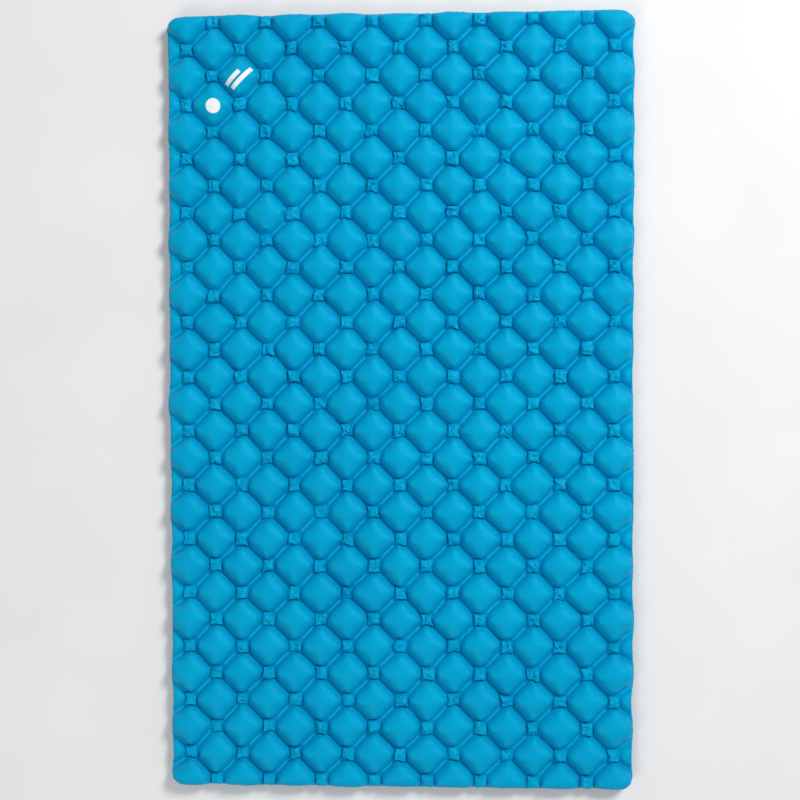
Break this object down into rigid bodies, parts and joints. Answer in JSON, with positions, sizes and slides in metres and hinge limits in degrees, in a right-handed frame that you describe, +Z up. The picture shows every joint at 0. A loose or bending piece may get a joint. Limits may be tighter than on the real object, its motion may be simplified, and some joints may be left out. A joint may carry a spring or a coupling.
{
  "type": "inflatable sleeping pad",
  "caption": "Double-width inflatable sleeping pad quilted into diamond air cells, with separate inflation and deflation valves under its foot end.",
  "frame": {"origin": "centre of the pad in plan, at the level of the surface that it lies on", "axes": "+X across the pad, to the right when it is seen from above with its head end up; +Y from foot to head; +Z up"},
  "size_m": [1.2, 2, 0.06],
  "materials": {
    "top_fabric": "satin coated nylon, bright cyan blue",
    "underside_fabric": "satin coated nylon, bright cyan blue",
    "valve_plastic": "moulded, fine texture, dark grey",
    "cap_plastic": "moulded, satin, dark grey",
    "silicone": "soft, milky white"
  },
  "bodies": {
    "pad": {"bottom_sheet": "underside_fabric", "inflation_valve_base": "valve_plastic", "inflation_valve_seat": "valve_plastic", "inflation_valve_spider": "valve_plastic", "inflation_hinge_pin": "valve_plastic", "deflation_valve_base": "valve_plastic", "deflation_valve_spider": "valve_plastic", "deflation_hinge_pin": "valve_plastic"},
    "upper": {"top_sheet": "top_fabric"},
    "inflation_flip": {"inflation_cap": "cap_plastic", "inflation_cap_gasket": "silicone"},
    "deflation_flip": {"deflation_cap": "cap_plastic", "deflation_cap_gasket": "silicone"},
    "flap": {"inflation_check_flap": "silicone"}
  },
  "joints": [
    {"name": "pad_deflate", "type": "slide", "parent": "pad", "child": "upper", "axis": [0, 0, -1], "range_m": [0, 0.045], "stiffness_N_per_m": 10000, "springref_m": -0.02, "deforming": ["top_sheet", "bottom_sheet"]},
    {"name": "inflation_cap_flip", "type": "hinge", "parent": "pad", "child": "inflation_flip", "pos_m": [-0.47994, -0.8915, 0.003], "axis": [1, 0, 0], "range_deg": [0, 150]},
    {"name": "deflation_cap_flip", "type": "hinge", "parent": "pad", "child": "deflation_flip", "pos_m": [-0.34281, -0.8915, 0.003], "axis": [1, 0, 0], "range_deg": [0, 150]},
    {"name": "check_flap_lift", "type": "slide", "parent": "pad", "child": "flap", "axis": [0, 0, 1], "range_m": [0, 0.0015], "stiffness_N_per_m": 20, "springref_m": -0.0005}
  ]
}
